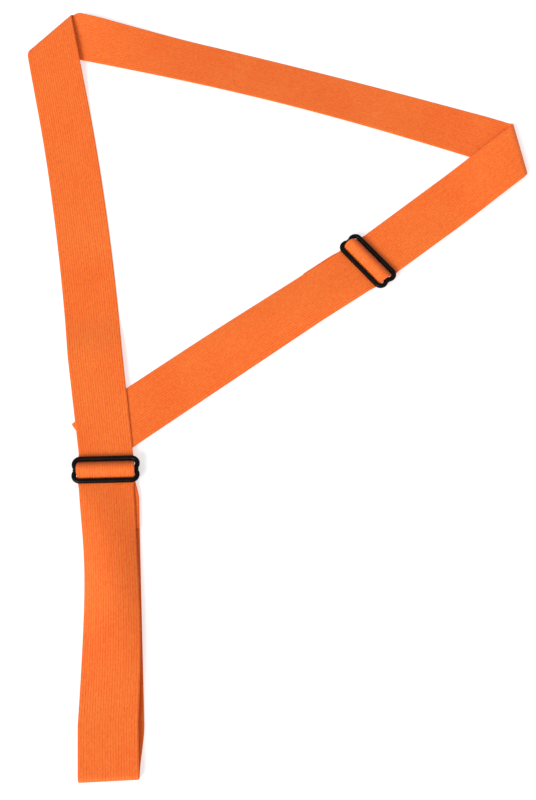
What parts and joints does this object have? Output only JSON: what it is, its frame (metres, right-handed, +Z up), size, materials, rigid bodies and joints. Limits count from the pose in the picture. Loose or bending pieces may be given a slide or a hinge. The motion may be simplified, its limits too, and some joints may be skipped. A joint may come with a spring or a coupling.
{
  "type": "adjustable carrying strap",
  "caption": "Flat orange webbing strap with an adjustable loop at each end, each closed by a black three-bar slide, laid out flat in an open triangle.",
  "frame": {"origin": "on the surface the strap lies on, under the middle of its bounding box", "axes": "+Y up the long left run, away from the left loop end; +X across, towards the right fold; +Z up from the surface"},
  "size_m": [0.489, 0.7478, 0.0137],
  "materials": {
    "webbing": "satin",
    "thread": "matte",
    "black_metal": "satin"
  },
  "bodies": {
    "main_span": {"left_feed": "webbing", "span_left_run": "webbing", "span_left_fold": "webbing", "span_top_run": "webbing", "span_right_fold": "webbing", "span_right_run": "webbing", "right_feed": "webbing"},
    "left_adjuster": {"left_slide_frame": "black_metal", "left_slide_centre_bar": "black_metal", "left_threaded_webbing": "webbing", "left_sewn_tab": "webbing", "left_tab_stitching": "thread", "left_loop_front": "webbing", "left_loop_back": "webbing"},
    "left_loop": {"left_loop_end": "webbing"},
    "right_adjuster": {"right_slide_frame": "black_metal", "right_slide_centre_bar": "black_metal", "right_threaded_webbing": "webbing", "right_sewn_tab": "webbing", "right_tab_stitching": "thread", "right_loop_front": "webbing", "right_loop_back": "webbing"},
    "right_loop": {"right_loop_end": "webbing"}
  },
  "joints": [
    {"name": "left_slide", "type": "slide", "parent": "main_span", "child": "left_adjuster", "axis": [0.0506, -0.9987, 0], "range_m": [0, 0.24], "deforming": ["left_feed"]},
    {"name": "left_loop_length", "type": "slide", "parent": "left_adjuster", "child": "left_loop", "axis": [0.0506, -0.9987, 0], "range_m": [-0.12, 0], "deforming": ["left_loop_front", "left_loop_back"]},
    {"name": "right_slide", "type": "slide", "parent": "main_span", "child": "right_adjuster", "axis": [-0.8141, -0.5807, 0], "range_m": [-0.075, 0.005], "deforming": ["right_feed"]},
    {"name": "right_loop_length", "type": "slide", "parent": "right_adjuster", "child": "right_loop", "axis": [-0.8141, -0.5807, 0], "range_m": [-0.0025, 0.0375], "deforming": ["right_loop_front", "right_loop_back"]}
  ],
  "couplings": [
    {"joint": "left_loop_length", "follows": "left_slide", "ratio": -0.5},
    {"joint": "right_loop_length", "follows": "right_slide", "ratio": -0.5}
  ]
}
